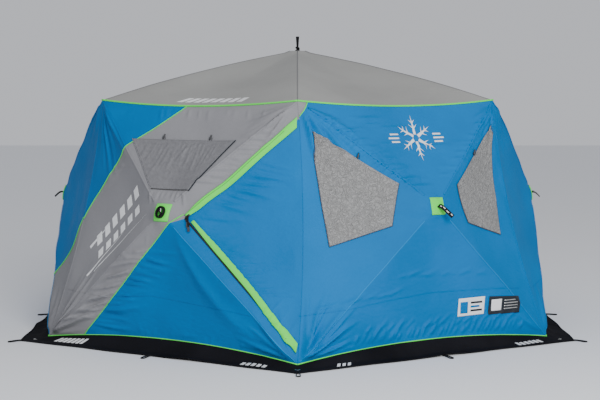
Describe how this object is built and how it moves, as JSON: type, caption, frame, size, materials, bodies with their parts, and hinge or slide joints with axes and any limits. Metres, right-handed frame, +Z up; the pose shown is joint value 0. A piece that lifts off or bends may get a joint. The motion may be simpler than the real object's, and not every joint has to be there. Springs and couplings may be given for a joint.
{
  "type": "hub ice fishing shelter",
  "caption": "Pop-up ice fishing shelter: cloth walls and roof tensioned by poles from hubs, with a zipped door, covered windows and a snow skirt.",
  "frame": {"origin": "on the ice, in the middle of the floor", "axes": "+Z up; -Y towards the corner between the door wall and the window wall; +X towards the window wall's side"},
  "size_m": [3.6022, 4.134, 1.9213],
  "materials": {
    "wall_cloth": "matte",
    "roof_cloth": "matte",
    "skirt_cloth": "matte",
    "door_cloth": "matte",
    "cover_cloth": "matte",
    "green_trim": "matte",
    "webbing": "matte",
    "hub_plastic": "satin",
    "pole_fibreglass": "satin",
    "clear_film": "gloss",
    "toggle_plastic": "satin",
    "zip_metal": "satin",
    "zip_tape": "matte",
    "grommet_metal": "satin"
  },
  "bodies": {
    "shelter_body": {"wall_1_panel": "wall_cloth", "wall_2_panel": "wall_cloth", "wall_3_panel": "wall_cloth", "wall_4_panel": "wall_cloth", "wall_5_panel": "wall_cloth", "wall_6_panel": "wall_cloth", "roof_canopy": "roof_cloth", "snow_skirt": "skirt_cloth", "skirt_grommets": "grommet_metal", "anchor_loops": "webbing", "eave_corner_brackets": "hub_plastic", "base_corner_brackets": "hub_plastic", "eave_piping": "green_trim", "base_piping": "green_trim"},
    "wall_1_hub": {"wall_1_hub": "hub_plastic", "wall_1_pull_strap": "webbing"},
    "wall_1_poles_upper": {"wall_1_poles_upper": "pole_fibreglass", "window_film_centre": "clear_film", "cover_toggles_centre": "toggle_plastic"},
    "wall_1_poles_lower": {"wall_1_poles_lower": "pole_fibreglass"},
    "wall_2_hub": {"wall_2_hub": "hub_plastic", "wall_2_pull_strap": "webbing"},
    "wall_2_poles_upper": {"wall_2_poles_upper": "pole_fibreglass"},
    "wall_2_poles_lower": {"wall_2_poles_lower": "pole_fibreglass"},
    "wall_3_hub": {"wall_3_hub": "hub_plastic", "wall_3_pull_strap": "webbing"},
    "wall_3_poles_upper": {"wall_3_poles_upper": "pole_fibreglass"},
    "wall_3_poles_lower": {"wall_3_poles_lower": "pole_fibreglass"},
    "wall_4_hub": {"wall_4_hub": "hub_plastic", "wall_4_pull_strap": "webbing"},
    "wall_4_poles_upper": {"wall_4_poles_upper": "pole_fibreglass"},
    "wall_4_poles_lower": {"wall_4_poles_lower": "pole_fibreglass"},
    "wall_5_hub": {"wall_5_hub": "hub_plastic", "wall_5_pull_strap": "webbing"},
    "wall_5_poles_upper": {"wall_5_poles_upper": "pole_fibreglass"},
    "wall_5_poles_lower": {"wall_5_poles_lower": "pole_fibreglass"},
    "wall_6_hub": {"wall_6_hub": "hub_plastic", "wall_6_pull_strap": "webbing"},
    "wall_6_poles_upper": {"wall_6_poles_upper": "pole_fibreglass"},
    "wall_6_poles_lower": {"wall_6_poles_lower": "pole_fibreglass"},
    "roof_hub": {"roof_hub": "hub_plastic", "roof_pull_strap": "webbing"},
    "roof_poles_a": {"roof_poles_a": "pole_fibreglass"},
    "roof_poles_b": {"roof_poles_b": "pole_fibreglass"},
    "roof_poles_c": {"roof_poles_c": "pole_fibreglass"},
    "door_frame": {"door_hinge_strip": "door_cloth", "door_zip_upper": "zip_tape", "door_zip_lower": "zip_tape"},
    "door_flap": {"door_flap": "door_cloth", "storm_flap_upper": "green_trim", "storm_flap_lower": "green_trim"},
    "zip_slider_upper": {"zip_slider_upper": "zip_metal"},
    "zip_slider_lower": {"zip_slider_lower": "zip_metal"},
    "window_cover_centre": {"window_cover_centre": "cover_cloth"},
    "window_frame_left": {"window_film_left": "clear_film", "cover_toggles_left": "toggle_plastic"},
    "window_cover_left": {"window_cover_left": "cover_cloth"},
    "window_frame_right": {"window_film_right": "clear_film", "cover_toggles_right": "toggle_plastic"},
    "window_cover_right": {"window_cover_right": "cover_cloth"}
  },
  "joints": [
    {"name": "wall_1_pop", "type": "slide", "parent": "shelter_body", "child": "wall_1_hub", "axis": [0.4882, 0.8457, -0.2156], "range_m": [0, 0.444], "deforming": ["wall_1_panel"]},
    {"name": "wall_1_poles_upper_tilt", "type": "hinge", "parent": "shelter_body", "child": "wall_1_poles_upper", "pos_m": [-0.61661, -1.068, 1.49], "axis": [0.866, -0.5, 0], "range_deg": [0, 34.29]},
    {"name": "wall_1_poles_lower_tilt", "type": "hinge", "parent": "shelter_body", "child": "wall_1_poles_lower", "pos_m": [-0.77942, -1.35, 0.015], "axis": [-0.866, 0.5, 0], "range_deg": [0, 31.38]},
    {"name": "wall_2_pop", "type": "slide", "parent": "shelter_body", "child": "wall_2_hub", "axis": [-0.4882, 0.8457, -0.2156], "range_m": [0, 0.444], "deforming": ["wall_2_panel"]},
    {"name": "wall_2_poles_upper_tilt", "type": "hinge", "parent": "shelter_body", "child": "wall_2_poles_upper", "pos_m": [0.61661, -1.068, 1.49], "axis": [0.866, 0.5, 0], "range_deg": [0, 36.22]},
    {"name": "wall_2_poles_lower_tilt", "type": "hinge", "parent": "shelter_body", "child": "wall_2_poles_lower", "pos_m": [0.77942, -1.35, 0.015], "axis": [-0.866, -0.5, 0], "range_deg": [0, 29.91]},
    {"name": "wall_3_pop", "type": "slide", "parent": "shelter_body", "child": "wall_3_hub", "axis": [-0.9765, 0, -0.2156], "range_m": [0, 0.444], "deforming": ["wall_3_panel"]},
    {"name": "wall_3_poles_upper_tilt", "type": "hinge", "parent": "shelter_body", "child": "wall_3_poles_upper", "pos_m": [1.23322, 0, 1.49], "axis": [0, 1, 0], "range_deg": [0, 35.23]},
    {"name": "wall_3_poles_lower_tilt", "type": "hinge", "parent": "shelter_body", "child": "wall_3_poles_lower", "pos_m": [1.55885, 0, 0.015], "axis": [0, -1, 0], "range_deg": [0, 30.62]},
    {"name": "wall_4_pop", "type": "slide", "parent": "shelter_body", "child": "wall_4_hub", "axis": [-0.4882, -0.8457, -0.2156], "range_m": [0, 0.444], "deforming": ["wall_4_panel"]},
    {"name": "wall_4_poles_upper_tilt", "type": "hinge", "parent": "shelter_body", "child": "wall_4_poles_upper", "pos_m": [0.61661, 1.068, 1.49], "axis": [-0.866, 0.5, 0], "range_deg": [0, 35.52]},
    {"name": "wall_4_poles_lower_tilt", "type": "hinge", "parent": "shelter_body", "child": "wall_4_poles_lower", "pos_m": [0.77942, 1.35, 0.015], "axis": [0.866, -0.5, 0], "range_deg": [0, 30.41]},
    {"name": "wall_5_pop", "type": "slide", "parent": "shelter_body", "child": "wall_5_hub", "axis": [0.4882, -0.8457, -0.2156], "range_m": [0, 0.444], "deforming": ["wall_5_panel"]},
    {"name": "wall_5_poles_upper_tilt", "type": "hinge", "parent": "shelter_body", "child": "wall_5_poles_upper", "pos_m": [-0.61661, 1.068, 1.49], "axis": [-0.866, -0.5, 0], "range_deg": [0, 34.84]},
    {"name": "wall_5_poles_lower_tilt", "type": "hinge", "parent": "shelter_body", "child": "wall_5_poles_lower", "pos_m": [-0.77942, 1.35, 0.015], "axis": [0.866, 0.5, 0], "range_deg": [0, 30.92]},
    {"name": "wall_6_pop", "type": "slide", "parent": "shelter_body", "child": "wall_6_hub", "axis": [0.9765, 0, -0.2156], "range_m": [0, 0.444], "deforming": ["wall_6_panel"]},
    {"name": "wall_6_poles_upper_tilt", "type": "hinge", "parent": "shelter_body", "child": "wall_6_poles_upper", "pos_m": [-1.23322, 0, 1.49], "axis": [0, -1, 0], "range_deg": [0, 35.23]},
    {"name": "wall_6_poles_lower_tilt", "type": "hinge", "parent": "shelter_body", "child": "wall_6_poles_lower", "pos_m": [-1.55885, 0, 0.015], "axis": [0, 1, 0], "range_deg": [0, 30.62]},
    {"name": "roof_pop", "type": "slide", "parent": "shelter_body", "child": "roof_hub", "axis": [0, 0, -1], "range_m": [0, 0.66], "deforming": ["roof_canopy"]},
    {"name": "roof_poles_a_tilt", "type": "hinge", "parent": "shelter_body", "child": "roof_poles_a", "pos_m": [-0.61661, -1.068, 1.49], "axis": [-0.866, 0.5, 0], "range_deg": [0, 29.97]},
    {"name": "roof_poles_b_tilt", "type": "hinge", "parent": "shelter_body", "child": "roof_poles_b", "pos_m": [1.23322, 0, 1.49], "axis": [0, -1, 0], "range_deg": [0, 29.97]},
    {"name": "roof_poles_c_tilt", "type": "hinge", "parent": "shelter_body", "child": "roof_poles_c", "pos_m": [-0.61661, 1.068, 1.49], "axis": [0.866, 0.5, 0], "range_deg": [0, 29.97]},
    {"name": "door_frame_tilt", "type": "hinge", "parent": "shelter_body", "child": "door_frame", "pos_m": [0, -1.612, 0.7525], "axis": [0, -0.247, -0.969], "range_deg": [0, 31.2]},
    {"name": "door_swing", "type": "hinge", "parent": "door_frame", "child": "door_flap", "pos_m": [-0.08097, -1.58181, 0.74555], "axis": [0, 0.2503, 0.9682], "range_deg": [0, 115]},
    {"name": "zip_upper_slide", "type": "slide", "parent": "door_frame", "child": "zip_slider_upper", "axis": [0.7514, -0.0133, 0.6597], "range_m": [0, 0.7811]},
    {"name": "zip_lower_slide", "type": "slide", "parent": "door_frame", "child": "zip_slider_lower", "axis": [0.6386, -0.3349, -0.6928], "range_m": [0, 0.9311]},
    {"name": "window_cover_centre_swing", "type": "hinge", "parent": "wall_1_poles_upper", "child": "window_cover_centre", "pos_m": [-0.68446, -1.19246, 1.25459], "axis": [-0.866, 0.5, 0], "range_deg": [0, 105]},
    {"name": "window_frame_left_tilt", "type": "hinge", "parent": "shelter_body", "child": "window_frame_left", "pos_m": [0, -1.612, 0.7525], "axis": [0, 0.247, 0.969], "range_deg": [0, 31.39]},
    {"name": "window_cover_left_swing", "type": "hinge", "parent": "window_frame_left", "child": "window_cover_left", "pos_m": [0.33806, -1.41927, 1.16402], "axis": [-0.8579, -0.061, 0.5101], "range_deg": [0, 105]},
    {"name": "window_frame_right_tilt", "type": "hinge", "parent": "shelter_body", "child": "window_frame_right", "pos_m": [1.39603, -0.806, 0.7525], "axis": [0.2139, -0.1235, -0.969], "range_deg": [0, 31.39]},
    {"name": "window_cover_right_swing", "type": "hinge", "parent": "window_frame_right", "child": "window_cover_right", "pos_m": [1.08111, -0.97935, 1.16051], "axis": [-0.4297, -0.6791, -0.5951], "range_deg": [0, 105]}
  ],
  "couplings": [
    {"joint": "wall_1_poles_upper_tilt", "follows": "wall_1_pop", "rad_per_m": 1.3474},
    {"joint": "wall_1_poles_lower_tilt", "follows": "wall_1_pop", "rad_per_m": 1.2331},
    {"joint": "wall_2_poles_upper_tilt", "follows": "wall_2_pop", "rad_per_m": 1.4235},
    {"joint": "wall_2_poles_lower_tilt", "follows": "wall_2_pop", "rad_per_m": 1.1752},
    {"joint": "wall_3_poles_upper_tilt", "follows": "wall_3_pop", "rad_per_m": 1.3844},
    {"joint": "wall_3_poles_lower_tilt", "follows": "wall_3_pop", "rad_per_m": 1.2035},
    {"joint": "wall_4_poles_upper_tilt", "follows": "wall_4_pop", "rad_per_m": 1.3959},
    {"joint": "wall_4_poles_lower_tilt", "follows": "wall_4_pop", "rad_per_m": 1.1948},
    {"joint": "wall_5_poles_upper_tilt", "follows": "wall_5_pop", "rad_per_m": 1.3694},
    {"joint": "wall_5_poles_lower_tilt", "follows": "wall_5_pop", "rad_per_m": 1.2152},
    {"joint": "wall_6_poles_upper_tilt", "follows": "wall_6_pop", "rad_per_m": 1.3844},
    {"joint": "wall_6_poles_lower_tilt", "follows": "wall_6_pop", "rad_per_m": 1.2035},
    {"joint": "roof_poles_a_tilt", "follows": "roof_pop", "rad_per_m": 0.79232},
    {"joint": "roof_poles_b_tilt", "follows": "roof_pop", "rad_per_m": 0.79232},
    {"joint": "roof_poles_c_tilt", "follows": "roof_pop", "rad_per_m": 0.79232},
    {"joint": "door_frame_tilt", "follows": "wall_1_pop", "rad_per_m": 1.2259},
    {"joint": "window_frame_left_tilt", "follows": "wall_2_pop", "rad_per_m": 1.2334},
    {"joint": "window_frame_right_tilt", "follows": "wall_2_pop", "rad_per_m": 1.2334}
  ]
}
